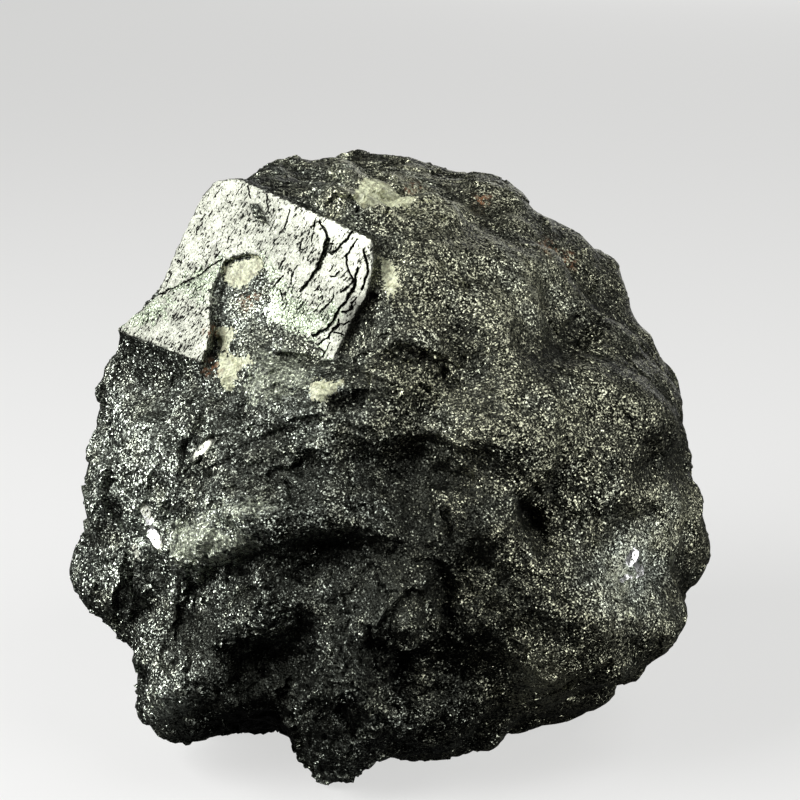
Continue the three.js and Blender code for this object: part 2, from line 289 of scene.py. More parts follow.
# Outlines of the patches of cream calcite, and the places and radii of the rust.
CALCITE = (
    [
        (-5.6, 46.6), (-5.6, 50.5), (-4.2, 53.4), (-2.6, 54.2), (-0.6, 53.6), (0.7, 52.0), (3.1, 49.8),
        (5.8, 47.4), (3.1, 46.5), (-0.4, 46.8), (-3.3, 45.8),
    ],
    [
        (-29.0, 36.6), (-26.4, 37.4), (-22.8, 38.3), (-21.6, 37.6), (-21.6, 35.9), (-23.1, 34.5),
        (-24.4, 32.8), (-26.6, 32.2), (-28.8, 33.7),
    ],
    [(-30.3, 25.6), (-28.8, 26.0), (-26.2, 25.0), (-26.9, 23.4), (-28.0, 21.6), (-30.0, 22.0)],
    [
        (-30.0, 21.4), (-26.0, 20.5), (-23.4, 20.6), (-23.2, 18.6), (-25.9, 18.0), (-26.2, 14.6),
        (-27.6, 13.8), (-29.4, 16.7),
    ],
    [(-1.3, 37.6), (0.9, 36.5), (2.1, 34.1), (1.9, 31.4), (0.5, 29.9), (-0.7, 32.5)],
    [(-13.3, 14.9), (-11.4, 16.8), (-9.6, 15.8), (-6.8, 16.3), (-8.2, 14.3), (-10.5, 12.3), (-12.7, 13.1)],
)
RUST = (
    (18.0, 50.0, 1.4), (30.0, 41.0, 1.8), (33.6, 38.8, 1.4), (5.0, 52.4, 1.2), (-30.6, 18.6, 1.4),
    (-24.0, 30.4, 1.2), (-30.8, 25.0, 1.0),
)
RUST_EDGE = 1.2  # half the width of a spot's faded edge
RUST_RAGGED = 0.5  # how far its radius varies, as a share of it

# Painted light and shade: places painted darker or brighter than the rest, where more or less light falls
# on them, such as shaded undercuts and lit ledges and tops: u, v, radius and by how much, as a power of e.
PAINTED_LIGHT_AND_SHADE = (
    (-24.5, 28.0, 5.5, 1.5),
    (-17.5, 44.0, 8.0, -0.3),
    (-4.4, 26.5, 3.6, -1.4),
    (-13.0, 25.0, 3.0, 0.3),
    (-5.0, 53.5, 10.5, 2.0),
    (6.5, 53.0, 6.0, 0.7),
    (14.0, 51.0, 10.0, 0.8),
    (17.0, 37.0, 12.0, 0.9),
    (25.0, 32.0, 7.0, 0.9),
    (43.0, -17.0, 6.0, 3.0),
    (50.0, -9.0, 6.0, 2.3),
    (38.0, -25.0, 10.0, 0.5),
    (28.0, -37.0, 7.0, 3.1),
    (47.0, 6.0, 9.0, -0.7),
    (33.0, 8.0, 5.0, 0.6),
    (16.0, 8.0, 4.0, -0.4),
    (8.0, 12.0, 6.0, 0.8),
    (-11.0, 8.0, 4.0, 0.9),
    (-46.0, 3.0, 8.0, 1.5),
    (-27.0, -8.5, 6.0, 1.5),
    (-31.7, 4.4, 2.5, 1.2),
    (-43.0, -10.0, 4.5, 2.4),
    (-34.0, -18.0, 7.0, 2.0),
    (-33.0, -27.5, 6.0, -2.6),
    (-37.0, -41.0, 6.0, 2.3),
    (-21.0, -18.5, 5.0, -1.8),
    (-25.0, -0.5, 7.0, -0.8),
    (-11.0, 0.0, 6.0, -0.7),
    (-1.5, 9.0, 5.0, -0.4),
    (6.0, -10.0, 10.0, -1.4),
    (16.0, -9.5, 7.0, -1.6),
    (30.0, -9.0, 6.0, -0.4),
    (2.0, -19.0, 7.0, -1.4),
    (15.0, -18.5, 4.0, 1.2),
    (28.0, -18.5, 5.0, -0.8),
    (-12.0, -27.0, 6.0, -0.7),
    (-1.0, -28.0, 7.0, -1.7),
    (14.5, -27.5, 4.5, -2.0),
    (33.0, -23.0, 5.0, -0.7),
    (23.0, -27.0, 4.0, 0.6),
    (-11.0, -36.5, 6.0, -2.0),
    (-23.0, -44.0, 9.0, -3.4),
    (9.0, -38.0, 8.0, -2.0),
    (-10.0, -14.0, 7.0, -0.4),
)

# The massive arsenide turns from silvery to olive between these places, as u plus a share of v, but
# it is silvery at one more place, given with its radius.
OLIVE_SPAN = (-22, 22)
OLIVE_LEAN = 0.3
OLIVE_SHIFT = 6  # how far the places wander
SILVER = (43.0, -17.0, 8.0)

# Where a pale film lies, on the ledge and under the crystals.
FILM = (
    [
        (-37.0, -9.0), (-34.0, -8.4), (-30.0, -6.4), (-28.6, -8.2), (-25.4, -9.4), (-22.0, -10.8),
        (-27.0, -13.2), (-31.5, -15.0), (-36.0, -16.2), (-38.4, -13.4),
    ],
    [(-29.5, -5.6), (-25.5, -5.2), (-21.0, -3.4), (-19.0, -5.4), (-24.0, -7.0)],
    [
        (-23.0, 21.0), (-17.0, 21.5), (-13.0, 18.0), (-12.5, 15.5), (-17.0, 13.5), (-22.5, 12.0),
        (-25.0, 14.5), (-23.5, 18.0),
    ],
)
EDGE_REACH = 4.0  # outlines are measured this far from their edges, in millimetres

# The axis, in u and v, that the fractures sweep round, and the radius at which the sweep is true to size.
SWEEP_AXIS = (-6.0, -34.0)
SWEEP_RADIUS = 45.0
FLAT_STRETCH = (1, 2.4, 1)  # how much longer the flats are along the sweep
WRINKLE_STRETCH = (1, 3.2, 1)  # and the wrinkles of the finish

# The small flats that the massive arsenide is broken into: their size in millimetres, how steep they
# are, the seed of their places, and whether they follow the sweep.
BREAKS = (
    (10, 0.055, 11, False),
    (5, 0.085, 12, True),
    (2.4, 0.10, 13, True),
    (1.5, 0.09, 14, False),
)
FLAT_KINDS = 8191  # how many different flats the broken surface is made of
FLAT_STRIDE = (1, 137, 2039)  # how their numbers go up from cell to cell, in each direction
WARP_SEED = 4  # of the noise that bends the flats' edges, so that each run bends them alike
WARP_SIZE = 5.5  # its size, and how far it bends them
WARP_SHIFT = 1.3
CREST_SIZE = 3.4  # of the sharp little crests over the flats
CREST_HEIGHT = 0.1
CREST_OCTAVES = (0.9, 2.2, 3, 1.0, 2.0)  # as the noise's, then the level and sharpness of the crests

# The right of the lump is calmer than its left: it is smoothed more, and its flats are lower.
CALM_MELT = (4, 22)  # smoothed more from here in u, and fully here
CALM_BREAK = (-5, 25)
CALM_CUT = 0.5  # how much lower the flats are there

MASSIVE = "massive"  # vertex group of the massive arsenide
CALM = "calm"  # vertex group of the calmer part of it
MELT_FACTOR = 0.5  # how far one smoothing goes
THIN_FACTOR = 1.0  # how much more the massive arsenide is thinned than the crystals' faces
CREASE = math.radians(38)  # edges sharper than this are shaded as creases
CRYSTAL_EDGE = (0.25, 0.7)  # where the crystals' finish ends, in millimetres from their faces
CRYSTAL_RAGGED = 0.1  # how far that edge wavers
HOLLOW_ROUNDS = 8  # how often the surface is averaged to find its small hollows, for painted shade in them and painted light on the crests
CAVITY_ROUNDS = 90  # and its large ones
UV_MAP = "OFBake"
UV_COLUMNS = 3
UV_ROWS = 2
UV_MARGIN = 0.01

# The noises of the finish: the size of their lumps, their detail, and how rough that is. A ramp below
# says where it starts and ends, and its values there, which are 0 and 1 where it says no more.
DRIFT = (1.6 * MM, 2.0)
MOTTLE = (6 * MM, 3.0, 0.6)
FACE_FINE = (0.28 * MM, 2.0)
FACE_CROWD = (3.2 * MM, 3.0, 0.6)
FACE_FLECK = (1.2 * MM, 4.0, 0.7)
FACE_POCKS = (0.33 * MM, 2.0, 0.6)
FACE_WAVE = (2.4 * MM, 3.0, 0.55)
FLECK = (1.1 * MM, 5.0, 0.65)
CRUMBS = (0.5 * MM, 4.0, 0.7)

# The brightness of the massive arsenide is a power of e: how far each part of its texture, and of its
# painted light and shade, moves it. The grains, wrinkles and fine noise are partly the grains' own grey on
# dark tarnish and partly painted glints, with the wrinkles' crests painted lighter and their troughs
# darker.
SHINE = 0.049
WRINKLE_POWER = 12.0
FINE_POWER = 10.0
LUCK_POWER = 6.0
MOTTLE_RAMP = (0.3, 0.7, -0.35, 0.35)
# painted shade in the small and large hollows, and painted light on the crests between them
HOLLOW_SHADE_RAMP = (-0.4, 0.4, 0.4, -0.5)
CAVITY_SHADE_RAMP = (-1.6, 1.6, 0.3, -0.8)
STREAK_RAMP = (0.40, 0.60, 0.25, 1.0)  # how strong the wrinkles are, by the mottle
OLIVE_RAMP = (0.35, 0.65, -0.4, 0.4)
SILVER_TINT = (0.92, 1.0, 0.90)
OLIVE_TINT = (0.99, 1.0, 0.76)
GRAIN_ROUGH = (0.0, 1.0, 0.54, 0.3)
GRAIN_TILT = 0.9  # how far a grain's facet turns from the surface
GRAIN_DRIFT = 0.3  # how far the grains drift, where the wrinkles drift by 1
DRIFT_SHIFT = 1.8 * MM
RELIEF = 0.2 * MM  # height of the wrinkles and grains
WRINKLE_SIZE = 1.5  # in grains
FINE_SIZE = 1.3
FINE_SHARE = 0.5  # of the fine noise in the relief

# The crystals' faces, in the same way. Fine pocks lie all over them, turned from upright, and they and the
# cracks are painted dark as painted shade in these small recesses.
POCK_TURN = math.radians(28)
POCK_STRETCH = (1.0, 1.0, 2.4)
POCK_CROWD = (0.3, 0.7, -0.09, 0.09)  # more of them in some places than in others
POCK_EDGE = (0.585, 0.60)
CRACK_RAGGED = 1.2
CRACK_EDGE = (0.85, 1.1, 1.0, 0.0)
PAINTED_SHADE_LEFT = 0.03  # the brightness that is left in the pocks and cracks, painted shade in them
WORN_RAGGED = 16.0
WORN_EDGE = (-0.5, 0.5)
WORN_TINT = (0.34, 0.385, 0.29)
WORN_SHADE = 0.6  # how much darker a worn place is
FACE_POWERS = (0.0, 1.0, 2.0, 7.0)  # of the fine noise, on a bright face and on a worn one
CROWD_RAMP = (0.3, 0.7, 0.2, -0.3)
FLECK_RAMP = (0.3, 0.7, -0.3, 0.3)
FACE_ROUGH = (0.0, 1.0, 0.48, 0.6)
FACE_BUMP = 0.6
FACE_RELIEF = 0.25 * MM

# How much noise breaks up the edge of each patch of the finish, and the ramp that makes its edge.
RAGGED = {"crystal": 0.8, "broken": 7.0, "calcite": 3.0, "film": 14.0}
CRYSTAL_RAMP = (0.45, 0.55)
BROKEN_RAMP = (-0.12, 0.12, 1.0, 0.0)
CREAM_CRUMBS = (0.0, 1.0, -1.4, 1.1)
CREAM_RAMP = (-0.05, 0.05)
RUST_RAMP = (0.5, 0.58)
FILM_RAMP = (-0.4, 1.0, 0.0, 0.8)

STAIN = (0.30, 0.27, 0.16)  # of the calcite, where flecks lie on it
STAIN_RAMP = (0.50, 0.62)
STAIN_SHARE = 0.6
CREAM_SHADE = (0.35, 0.7, 0.25, 1.15)
CREAM_ROUGH = 0.55
RUST_ROUGH = 0.8
FILM_COLOUR = (0.165, 0.18, 0.135)
FILM_POWER = 12
FILM_LIGHT_AND_SHADE = 0.3  # how much of the painted light and shade tells on it
FILM_METAL = 0.3

FLOOR_SIZE = 12  # in metres
FLOOR_GLOW = 0.8
FLOOR_SHADE = (0.2, 0.2, 0.2)
FLOOR_ROUGH = 0.9
ROOM_LIGHT = 0.02  # how much light the room gives
ROOM_SEEN = 0.8  # how bright it looks behind the floor
LIGHT_AIM = Vector((0, 0, 50)) * MM
# The soft lights: the way to each from there, its distance and width in metres, and its watts.
SOFTBOXES = (
    ("key", (-0.78, -0.36, 0.51), 0.7, 0.5, 9),
    ("above", (0.45, -0.35, 0.82), 0.8, 0.4, 2.2),
    ("right", (0.96, -0.26, 0.12), 0.9, 0.7, 4.7),
    ("back", (0.3, 0.93, 0.2), 3.2, 1.9, 11.4),
)

LENS = 85  # in millimetres, as the sensor's width
SENSOR = 36
ELEVATION = math.radians(15)
CAMERA_DISTANCE = 366 * MM
CAMERA_AIM = Vector((1.4, 5.5, 61.5)) * MM
CAMERA_CLIP = (10 * MM, 20)


class SpecimenShape(bpy.types.PropertyGroup):
    """Sizes of the lump's surface."""

    detail: FloatProperty(
        name="Detail",
        description="Width of the smallest thing that is modelled in the surface",
        default=0.45 * MM, min=0.3 * MM, subtype="DISTANCE", unit="LENGTH",
    )
    melt: IntProperty(
        name="Melt",
        description="How many times the solid's flat facets are smoothed before they are broken up",
        default=40, min=0,
    )
    grain: FloatProperty(
        name="Grain",
        description="Width of one grain of the massive arsenide",
        default=0.26 * MM, min=0.1 * MM, subtype="DISTANCE", unit="LENGTH",
    )
    faces: IntProperty(
        name="Faces",
        description="How many triangles the lump has before its face is made finer beside the cracks",
        default=156_000, min=10_000,
    )


class SpecimenColours(bpy.types.PropertyGroup):
    """Colours of the lump and of the floor under it."""

    crystal: FloatVectorProperty(
        name="Crystal faces",
        description="Tin white of the bright faces of the crystals",
        default=(0.175, 0.18, 0.152), min=0, max=1, subtype="COLOR",
    )
    grains: FloatVectorProperty(
        name="Grains",
        description="Steel grey of the grains of the massive arsenide",
        default=(0.70, 0.70, 0.67), min=0, max=1, subtype="COLOR",
    )
    matrix: FloatVectorProperty(
        name="Between the grains",
        description="Near black of the tarnish between the grains",
        default=(0.016, 0.017, 0.014), min=0, max=1, subtype="COLOR",
    )
    calcite: FloatVectorProperty(
        name="Calcite",
        description="Cream of the calcite in the hollows",
        default=(0.74, 0.77, 0.52), min=0, max=1, subtype="COLOR",
    )
    rust: FloatVectorProperty(
        name="Rust",
        description="Brown of the weathered spots",
        default=(0.20, 0.085, 0.03), min=0, max=1, subtype="COLOR",
    )
    floor: FloatVectorProperty(
        name="Floor",
        description="Pale grey of the floor",
        default=(0.78, 0.78, 0.77), min=0, max=1, subtype="COLOR",
    )


# ---- Arrays of a mesh's vertices ----------------------------------------------------------------


def read(mesh, what):
    """A mesh's vertex positions or normals, one row for each vertex."""
    values = np.empty(3 * len(mesh.vertices), np.float32)
    mesh.vertices.foreach_get(what, values)
    return values.reshape(-1, 3)


def write(mesh, points):
    """Moves a mesh's vertices to these points."""
    mesh.vertices.foreach_set("co", points.astype(np.float32).ravel())
    mesh.update()


def leaning(points):
    """Points in the leaning frame: u to the right, v up and w to the front, in millimetres."""
    axes = np.array((RIGHT, UP, FRONT)).T
    return (points - np.array(CENTRE)) @ axes / MM


def swept(points):
    """Places in a frame that follows the sweep of the fractures, in millimetres.

    They curve round an axis through the foot of the lump, so the second coordinate runs along them.
    """
    u, v, w = leaning(points).T
    out = np.hypot(u - SWEEP_AXIS[0], v - SWEEP_AXIS[1])
    turn = np.arctan2(u - SWEEP_AXIS[0], v - SWEEP_AXIS[1])
    return np.stack([out, turn * SWEEP_RADIUS, w], 1)


def step(values, low, high):
    """0 below low and 1 above high, smooth between them."""
    share = np.clip((values - low) / (high - low), 0, 1)
    return share * share * (3 - 2 * share)


def noise(points, size, number, where=None):
    """Noise from about -1 to 1 with lumps of this size in millimetres, at each point or where asked."""
    places = points / (size * MM) + number * np.array(NOISE_STRIDE)
    found = np.zeros(len(points))
    for i in range(len(points)) if where is None else np.flatnonzero(where):
        found[i] = fractal(places[i], *NOISE_OCTAVES)
    return found


def surface_gap(points, surface):
    """Distance from each point to the nearest place on a surface, in millimetres."""
    return np.array([surface.find_nearest(Vector(point))[3] for point in points]) / MM


# ---- The crystals' faces ------------------------------------------------------------------------


def flat_surface(normal, corner):
    """The triangles of the solid that make one crystal face, the way it looks and its plane's level."""
    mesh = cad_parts[NODE].data
    way = RIGHT * normal[0] + UP * normal[1] + FRONT * normal[2]
    way.normalize()
    level = way.dot(CENTRE + (RIGHT * corner[0] + UP * corner[1] + FRONT * corner[2]) * MM)
    corners = []
    for face in mesh.polygons:
        on_plane = all(
            abs(way.dot(mesh.vertices[i].co) - level) < FACE_GAP for i in face.vertices
        )
        if on_plane and face.normal.dot(way) > FACE_MATCH:
            corners.append([mesh.vertices[i].co for i in face.vertices])
    if not corners:
        raise RuntimeError("the solid has no crystal face that looks this way")
    flat = [point for triangle in corners for point in triangle]
    triangles = [(i, i + 1, i + 2) for i in range(0, len(flat), 3)]
    return BVHTree.FromPolygons(flat, triangles), way, level


def crystal_surfaces():
    """Each crystal face's surface, way and level, by name."""
    return {name: flat_surface(*face) for name, face in CRYSTAL_FACES.items()}


def in_polygon(u, v, outline):
    """Distance in millimetres from each place to the edge of an outline, positive inside it."""
    inside = np.zeros(len(u), bool)
    gap = np.full(len(u), np.inf)
    for (u0, v0), (u1, v1) in zip(outline, outline[1:] + outline[:1]):
        if v0 != v1:
            crosses = (v0 > v) != (v1 > v)
            inside ^= crosses & (u < u0 + (v - v0) * (u1 - u0) / (v1 - v0))
        gap = np.minimum(gap, from_line(u, v, (u0, v0), (u1, v1)))
    return np.where(inside, gap, -gap)


def from_line(u, v, start, end):
    """Distance from each place to a straight line between two places."""
    along = np.array(end) - np.array(start)
    share = ((u - start[0]) * along[0] + (v - start[1]) * along[1]) / (along @ along)
    share = np.clip(share, 0, 1)
    return np.hypot(u - start[0] - share * along[0], v - start[1] - share * along[1])


def from_run(u, v, run):
    """Distance from each place to a run of straight lines."""
    return np.min([from_line(u, v, a, b) for a, b in zip(run, run[1:])], axis=0)


# ---- Shaping the lump ---------------------------------------------------------------------------


def apply(lump, kind, **settings):
    """Adds a modifier to the lump, sets it and applies it."""
    modifier = lump.modifiers.new(kind.title(), kind)
    for name, value in settings.items():
        setattr(modifier, name, value)
    bpy.ops.object.modifier_apply(modifier=modifier.name)


def copied_solid(name):
    """A copy of the CAD node with its loose triangles merged, selected and active."""
    bpy.ops.object.select_all(action="DESELECT")
    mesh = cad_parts[NODE].data.copy()
    mesh.name = name
    lump = bpy.data.objects.new(name, mesh)
    bpy.context.collection.objects.link(lump)
    lump.select_set(True)
    bpy.context.view_layer.objects.active = lump
    bpy.ops.object.mode_set(mode="EDIT")
    bpy.ops.mesh.select_all(action="SELECT")
    bpy.ops.mesh.remove_doubles(threshold=MERGE_GAP)
    bpy.ops.object.mode_set(mode="OBJECT")
    return lump


def remesh(lump, size):
    """Makes the lump anew of even faces of this size."""
    apply(lump, "REMESH", mode="VOXEL", voxel_size=size, use_smooth_shade=True)


def weigh(lump, name, weights):
    """Gives the lump a vertex group of these weights."""
    if name in lump.vertex_groups:
        lump.vertex_groups.remove(lump.vertex_groups[name])
    group = lump.vertex_groups.new(name=name)
    steps = np.round(weights * WEIGHT_STEPS).astype(int)
    for amount in np.unique(steps):
        members = np.flatnonzero(steps == amount).tolist()
        group.add(members, amount / WEIGHT_STEPS, "REPLACE")


def face_gap(points, face):
    """Distance from each point to a crystal face, in millimetres, up to FACE_REACH."""
    surface, way, level = face
    off = np.abs(points @ np.array(way) - level) / MM
    gap = np.full(len(points), FACE_REACH)
    close = np.flatnonzero(off < FACE_REACH)
    gap[close] = np.minimum(surface_gap(points[close], surface), FACE_REACH)
    return gap


def massive_share(points, surfaces):
    """How far each point belongs to the massive arsenide: 0 on the crystals' faces, 1 away from them."""
    share = np.ones(len(points))
    for name, face in surfaces.items():
        gap = face_gap(points, face)
        near, far, least = FACE_FADE[name]
        share = np.minimum(share, least + (1 - least) * step(gap, near, far))
    return share


def turned(u, v, at_u, at_v, turn):
    """How far each place is from this one, along and across a way that is turned from level."""
    cos, sin = math.cos(math.radians(turn)), math.sin(math.radians(turn))
    return (u - at_u) * cos + (v - at_v) * sin, (v - at_v) * cos - (u - at_u) * sin


def strokes(u, v, list_of_strokes, power=1.0):
    """Height of the listed hollows or ridges at each place, in millimetres."""
    height = np.zeros(len(u))
    for at_u, at_v, length, width, turn, amount in list_of_strokes:
        along, across = turned(u, v, at_u, at_v, turn)
        height += amount * np.exp(-(((along / length) ** 2 + (across / width) ** 2) ** power))
    return height


def along_run(u, v, run):
    """Distance from a run, positive on its left, and how far along it that is from its nearer end."""
    gap = np.full(len(u), np.inf)
    side = np.zeros(len(u))
    place = np.zeros(len(u))
    length = 0
    for start, end in zip(run, run[1:]):
        way = np.array(end) - np.array(start)
        span = math.hypot(*way)
        share = np.clip(((u - start[0]) * way[0] + (v - start[1]) * way[1]) / span ** 2, 0, 1)
        near = np.hypot(u - start[0] - share * way[0], v - start[1] - share * way[1])
        closer = near < gap
        gap[closer] = near[closer]
        side[closer] = np.sign(way[0] * (v - start[1]) - way[1] * (u - start[0]))[closer]
        place[closer] = (length + share * span)[closer]
        length += span
    return side * gap, np.minimum(place, length - place)


def ledges(u, v):
    """Height of the ledges at each place, in millimetres: half a step up on one side, half down."""
    height = np.zeros(len(u))
    for run, step_height, reach in LEDGES:
        off, inside = along_run(u, v, run)
        share = np.tanh(off / LEDGE_EDGE) * np.exp(-np.abs(off) / reach)
        height += 0.5 * step_height * share * step(inside, 0, LEDGE_FADE * reach)
    return height


def carve_front(lump):
    """Carves the pit, the hollows, the ridges and the ledges into the front, straight back from it."""
    points = read(lump.data, "co")
    u, v, w = leaning(points).T
    facing = read(lump.data, "normal") @ np.array(FRONT)
    front = step(w, *CARVE_DEPTH) * step(facing, *CARVE_FACING)
    wobble = noise(points, *WOBBLE)
    shiver = noise(points, *SHIVER)
    u_loose = u + WOBBLE_SHIFT * wobble + SHIVER_SHIFT * shiver
    v_loose = v + WOBBLE_SHIFT * wobble - SHIVER_SHIFT * shiver
    height = strokes(u_loose, v_loose, HOLLOWS, HOLLOW_POWER)
    height += strokes(u_loose, v_loose, RIDGES)
    height += LEDGE_SHARE * ledges(u_loose, v_loose)
    inside = in_polygon(u + PIT_SHIVER * shiver, v - PIT_SHIVER * shiver, PIT)
    slope = PIT_DEPTH[0] + (PIT_DEPTH[1] - PIT_DEPTH[0]) * step(u - PIT_LEAN * v, *PIT_SPAN)
    height -= slope * step(inside, *PIT_WALL) * (1 + PIT_UNEVEN * wobble)
    write(lump.data, points + (height * front * MM)[:, None] * np.array(FRONT))


def broken(places, size, tilt, seed):
    """Heights of a surface broken into small flats of about this size, in millimetres.

    Each flat slopes its own way, so that it meets its neighbours in an edge or a small step. A flat
    takes in the places that are nearest to its middle, and each cell of a grid holds one middle.
    """
    rng = np.random.default_rng(seed)
    middles = rng.random((FLAT_KINDS, 3))
    slopes = rng.normal(0, tilt, (FLAT_KINDS, 3))
    cells = np.floor(places / size).astype(int)
    height = np.zeros(len(places))
    least = np.full(len(places), np.inf)
    for shift in product((-1, 0, 1), repeat=3):
        near = cells + np.array(shift)
        kind = near @ np.array(FLAT_STRIDE) % FLAT_KINDS
        away = places / size - near - middles[kind]
        gap = (away ** 2).sum(1)
        closer = gap < least
        least[closer] = gap[closer]
        height[closer] = size * (away * slopes[kind]).sum(1)[closer]
    return height


def roughen(lump, shares):
    """Breaks the massive arsenide into crags and ledges that follow its sweep, and into small flats."""
    points = read(lump.data, "co")
    ways = read(lump.data, "normal")
    seed_set(WARP_SEED)
    warp = np.array([noise_vector(place) for place in points / (WARP_SIZE * MM)]) * WARP_SHIFT
    along = (swept(points) + warp) / np.array(FLAT_STRETCH)
    places = leaning(points) + warp
    calm = 1 - CALM_CUT * step(places[:, 0], *CALM_BREAK)
    height = np.zeros(len(points))
    for size, tilt, seed, follows in BREAKS:
        height += broken(along if follows else places, size, tilt, seed) * calm
    crest = np.array([ridged(place, *CREST_OCTAVES) for place in along / CREST_SIZE])
    height += (crest - crest.mean()) * CREST_HEIGHT
    write(lump.data, points + (height * shares * MM)[:, None] * ways)


def flatten_faces(lump, surfaces):
    """Brings the crystals' faces back to their planes."""
    points = read(lump.data, "co")
    for name in PLANED_FACES:
        way, level = surfaces[name][1:]
        gap = face_gap(points, surfaces[name])
        height = points @ np.array(way) - level
        near = 1 - step(gap, *PLANE_BAND)
        points -= (height * near * PLANE_PULL)[:, None] * np.array(way)
    write(lump.data, points)


def crack_gap(u, v, wobble):
    """Distance to the nearest crack, as a share of that crack's half width, and how deep it is there."""
    share = np.full(len(u), np.inf)
    deep = np.zeros(len(u))
    for run, width, depth in CRACKS:
        gap = from_run(u + CRACK_SHIFT * wobble, v - CRACK_SHIFT * wobble, run)
        share = np.minimum(share, gap / width)
        wall = step(gap, CRACK_WALL[0] * width, CRACK_WALL[1] * width)
        deep = np.maximum(deep, depth * (1 - wall))
    return share, deep


def refine(lump, chosen):
    """Halves the triangles that these vertices make."""
    mesh = lump.data
    bpy.ops.object.mode_set(mode="EDIT")
    bpy.ops.mesh.select_mode(type="VERT")
    bpy.ops.mesh.select_all(action="DESELECT")
    bpy.ops.object.mode_set(mode="OBJECT")
    mesh.vertices.foreach_set("select", chosen)
    bpy.ops.object.mode_set(mode="EDIT")
    bpy.ops.mesh.subdivide(number_cuts=1)
    bpy.ops.object.mode_set(mode="OBJECT")


def crack_faces(lump, surfaces):
    """Makes the upper crystal's face finer beside its cracks, and opens the cracks."""
    for band in CRACK_BANDS:
        points = read(lump.data, "co")
        u, v = leaning(points).T[:2]
        on_face = face_gap(points, surfaces["upper"]) < CRACK_FACE
        gap = np.min([from_run(u, v, crack[0]) for crack in CRACKS], axis=0)
        refine(lump, on_face & (gap < band))
    points = read(lump.data, "co")
    u, v = leaning(points).T[:2]
    close = face_gap(points, surfaces["upper"])
    deep = crack_gap(u, v, noise(points, *CRACK_WANDER, close < CRACK_REACH))[1]
    deep *= 1 - step(close, *CRACK_FADE)
    write(lump.data, points - (deep * MM)[:, None] * np.array(surfaces["upper"][1]))


def in_flat(u, v, flat):
    """1 inside one of the small cleavage flats and 0 outside it."""
    at_u, at_v, length, width, turn = flat
    along, across = np.abs(turned(u, v, at_u, at_v, turn))
    away = (along / length) ** FLAT_POWER + (across / width) ** FLAT_POWER
    return 1 - step(away, *FLAT_EDGE)


def cleave(lump):
    """Levels the small cleavage flats, which look the way the upper crystal's face does."""
    points = read(lump.data, "co")
    u, v, w = leaning(points).T
    facing = read(lump.data, "normal") @ np.array(FRONT)
    front = step(w, *FLAT_DEPTH) * step(facing, *FLAT_FACING)
    a, b, c = CRYSTAL_FACES["upper"][0]
    for flat in FLATS:
        share = in_flat(u, v, flat) * front
        inside = share > 0.5
        if not inside.any():
            continue
        level = (w + (a * u + b * v) / c)[inside].mean()
        plane = level - (a * u + b * v) / c
        points += ((plane - w) * share * MM)[:, None] * np.array(FRONT)
    write(lump.data, points)


def settle(lump):
    """Keeps the lump over the floor and its base flat."""
    points = read(lump.data, "co")
    points[:, 2] = np.maximum(points[:, 2], 0)
    write(lump.data, points)


def thin(lump, faces, surfaces):
    """Brings the lump down to this many triangles and keeps the crystals' faces as fine as they are."""
    weigh(lump, MASSIVE, massive_share(read(lump.data, "co"), surfaces))
    triangles = sum(len(face.vertices) - 2 for face in lump.data.polygons)
    apply(
        lump, "DECIMATE", ratio=min(1, faces / triangles), use_collapse_triangulate=True,
        vertex_group=MASSIVE, vertex_group_factor=THIN_FACTOR,
    )


# ---- What the finish reads from the surface ------------------------------------------------------


def paint(mesh, name, values):
    """Keeps a value for each vertex in the mesh, where the finish reads it by name."""
    layer = mesh.attributes.new(name, "FLOAT", "POINT")
    layer.data.foreach_set("value", values.astype(np.float32))


def rust_spots(u, v, wobble):
    """1 inside the round spots of rust and 0 outside them, with ragged edges."""
    share = np.zeros(len(u))
    for at_u, at_v, radius in RUST:
        gap = np.hypot(u - at_u, v - at_v) - radius * (1 + RUST_RAGGED * wobble)
        share = np.maximum(share, 1 - step(gap, -RUST_EDGE, RUST_EDGE))
    return share


def spread(u, v, at_u, at_v, radius):
    """1 at this place, fading out round it over this radius."""
    return np.exp(-((u - at_u) ** 2 + (v - at_v) ** 2) / radius ** 2)


def outlined(u, v, outlines, front):
    """Distance in millimetres to the nearest edge of some outlines on the front, positive inside them."""
    gap = np.max([in_polygon(u, v, outline) for outline in outlines], axis=0)
    return np.where(front, np.clip(gap, -EDGE_REACH, EDGE_REACH), -EDGE_REACH)


def averaged(mesh, values, rounds):
    """Values of a mesh's vertices, averaged with their neighbours' this many times."""
    edges = np.empty(2 * len(mesh.edges), np.int32)
    mesh.edges.foreach_get("vertices", edges)
    first, second = edges.reshape(-1, 2).T
    count = np.bincount(edges, minlength=len(values))[:, None]
    for _ in range(rounds):
        total = np.stack([
            np.bincount(first, column[second], len(values))
            + np.bincount(second, column[first], len(values))
            for column in values.T
        ], 1)
        values = 0.5 * (values + total / count)
    return values


def relief_of(mesh, points, ways, rounds):
    """How far each vertex lies under the smoothed surface round it, in millimetres."""
    smooth = averaged(mesh, points, rounds)
    return ((smooth - points) * ways).sum(1) / MM


